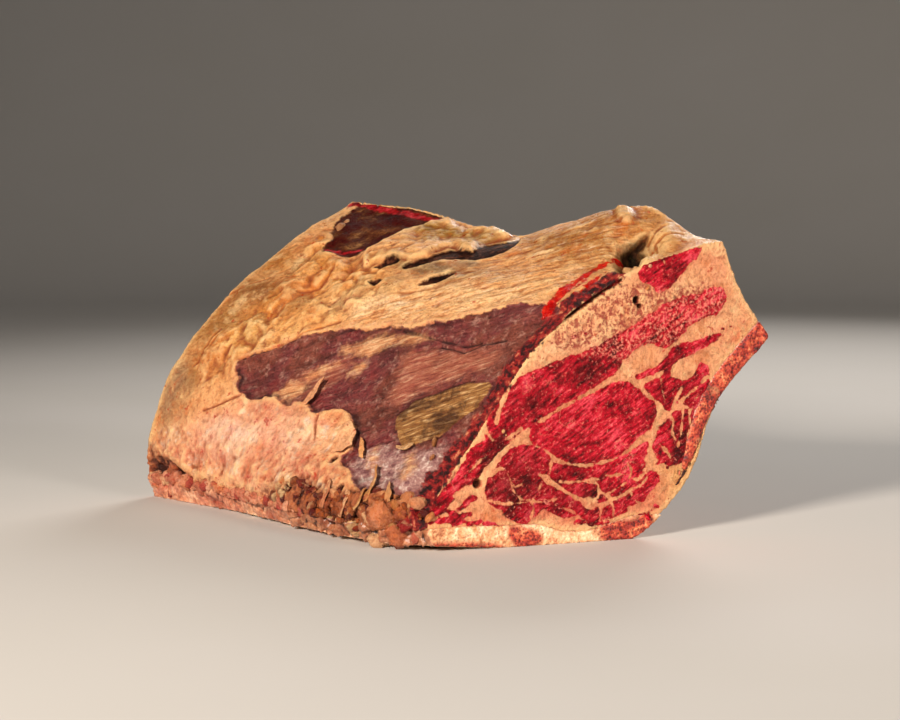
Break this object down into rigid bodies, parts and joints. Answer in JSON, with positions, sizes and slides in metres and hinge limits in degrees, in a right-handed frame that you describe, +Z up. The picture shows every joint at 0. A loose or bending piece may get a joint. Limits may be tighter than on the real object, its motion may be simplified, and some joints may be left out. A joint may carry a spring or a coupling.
{
  "type": "raw aged beef rib joint",
  "caption": "Raw aged beef rib joint with a fat cap over the back, a fresh marbled cut at one end, a sawn spine that it stands on and a row of ribs along its inner side.",
  "frame": {"origin": "under the middle of the bounding box, on the surface that the sawn spine rests on", "axes": "+X along the spine to the fresh near cut, +Y from the fat cap across to the ribs, +Z up"},
  "size_m": [0.4144, 0.3052, 0.2412],
  "materials": {
    "meat": "moist raw lean and fat, dried and darker on the aged outside",
    "sawn_bone": "saw-cut spongy bone, slightly moist",
    "rib_bone": "bone under thin shiny membrane"
  },
  "bodies": {
    "root": {"meat": "meat", "chine_bone": "sawn_bone", "rib_1": "rib_bone", "rib_2": "rib_bone", "rib_3": "rib_bone", "rib_4": "rib_bone", "rib_5": "rib_bone", "rib_6": "rib_bone", "rib_7": "rib_bone"}
  },
  "joints": []
}
